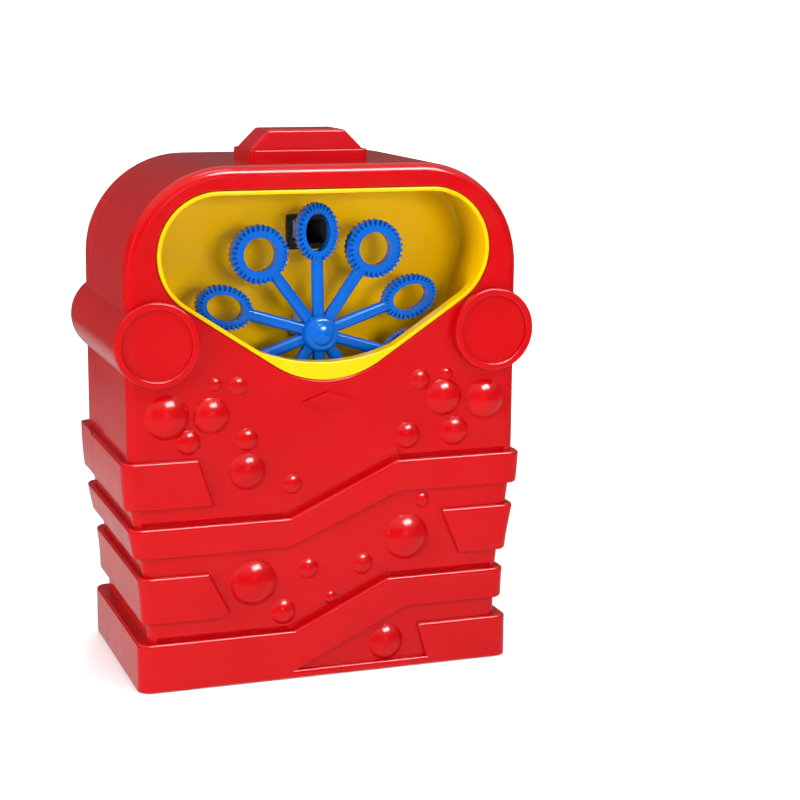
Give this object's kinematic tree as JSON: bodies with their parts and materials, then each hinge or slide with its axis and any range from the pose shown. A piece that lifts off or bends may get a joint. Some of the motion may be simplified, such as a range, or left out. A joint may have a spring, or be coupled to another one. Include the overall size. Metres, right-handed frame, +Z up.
{
  "type": "toy bubble machine",
  "caption": "Free-standing toy bubble machine: a wheel of ring wands turns through a trough of liquid past a small blower, in a casing with a push button on top.",
  "frame": {"origin": "on the ground under the centre of the machine's bounding box", "axes": "+Z up, the front with the wheel faces -Y, +X to the right seen from the front"},
  "size_m": [0.1656, 0.0894, 0.2104],
  "materials": {
    "red_plastic": "glossy",
    "button_red": "glossy",
    "yellow_plastic": "glossy",
    "blue_plastic": "glossy",
    "black_plastic": "satin",
    "grey_plastic": "satin",
    "white_plastic": "satin",
    "steel": "zinc plated",
    "motor_can": "nickel plated",
    "brass": "turned",
    "spring_steel": "nickel plated",
    "cell": "plain label",
    "rubber": "matt",
    "red_insulation": "satin",
    "black_insulation": "satin"
  },
  "bodies": {
    "casing": {"front_shell": "red_plastic", "rear_shell": "red_plastic", "bubble_tray": "yellow_plastic", "shaft_bush": "grey_plastic", "gear_pins": "steel", "gearbox_case": "white_plastic", "gearbox_cover": "white_plastic", "gearbox_screws": "steel", "wheel_motor": "motor_can", "wheel_motor_cap": "black_plastic", "blower_housing": "black_plastic", "blower_cover": "black_plastic", "air_nozzle": "black_plastic", "fan_motor": "motor_can", "blower_screws": "steel", "battery_box": "black_plastic", "battery_box_screws": "steel", "contact_plates": "spring_steel", "battery_springs": "spring_steel", "battery_1": "cell", "battery_2": "cell", "battery_3": "cell", "battery_4": "cell", "switch_body": "black_plastic", "switch_screws": "steel", "shell_screws": "steel", "tray_screws": "steel", "rubber_feet": "rubber", "battery_lead_red": "red_insulation", "battery_lead_black": "black_insulation", "switch_lead": "red_insulation", "fan_lead_red": "red_insulation", "fan_lead_black": "black_insulation"},
    "wheel": {"wand_wheel": "blue_plastic", "wheel_cap": "blue_plastic", "wheel_shaft": "steel", "output_gear": "white_plastic"},
    "first_gear": {"compound_gear_1": "white_plastic"},
    "second_gear": {"compound_gear_2": "white_plastic"},
    "third_gear": {"compound_gear_3": "white_plastic"},
    "motor_rotor": {"motor_pinion": "brass", "wheel_motor_shaft": "steel"},
    "fan": {"fan_impeller": "grey_plastic", "fan_motor_shaft": "steel"},
    "button": {"power_button": "button_red", "switch_plunger": "white_plastic"},
    "door": {"battery_door": "red_plastic", "battery_door_screw": "steel"}
  },
  "joints": [
    {"name": "wheel_spin", "type": "hinge", "parent": "casing", "child": "wheel", "pos_m": [0, -0.028, 0.1335], "axis": [0, -1, 0], "continuous": true},
    {"name": "first_gear_spin", "type": "hinge", "parent": "casing", "child": "first_gear", "pos_m": [0.01034, 0, 0.12482], "axis": [0, -1, 0], "continuous": true},
    {"name": "second_gear_spin", "type": "hinge", "parent": "casing", "child": "second_gear", "pos_m": [0.008, 0.003, 0.11153], "axis": [0, -1, 0], "continuous": true},
    {"name": "third_gear_spin", "type": "hinge", "parent": "casing", "child": "third_gear", "pos_m": [-0.00469, 0.006, 0.10691], "axis": [0, -1, 0], "continuous": true},
    {"name": "motor_spin", "type": "hinge", "parent": "casing", "child": "motor_rotor", "pos_m": [-0.01503, 0.0085, 0.11559], "axis": [0, -1, 0], "continuous": true},
    {"name": "fan_spin", "type": "hinge", "parent": "casing", "child": "fan", "pos_m": [-0.00745, 0.021, 0.171], "axis": [0, 0, 1], "continuous": true},
    {"name": "button_press", "type": "slide", "parent": "casing", "child": "button", "axis": [0, 0, -1], "range_m": [0, 0.0025], "stiffness_N_per_m": 500, "springref_m": -0.001},
    {"name": "door_lift", "type": "slide", "parent": "casing", "child": "door", "axis": [0, 1, 0], "range_m": [0, 0.03]}
  ],
  "couplings": [
    {"joint": "first_gear_spin", "follows": "wheel_spin", "ratio": -3.5},
    {"joint": "second_gear_spin", "follows": "wheel_spin", "ratio": 12.25},
    {"joint": "third_gear_spin", "follows": "wheel_spin", "ratio": -42.875},
    {"joint": "motor_spin", "follows": "wheel_spin", "ratio": 150.06}
  ]
}
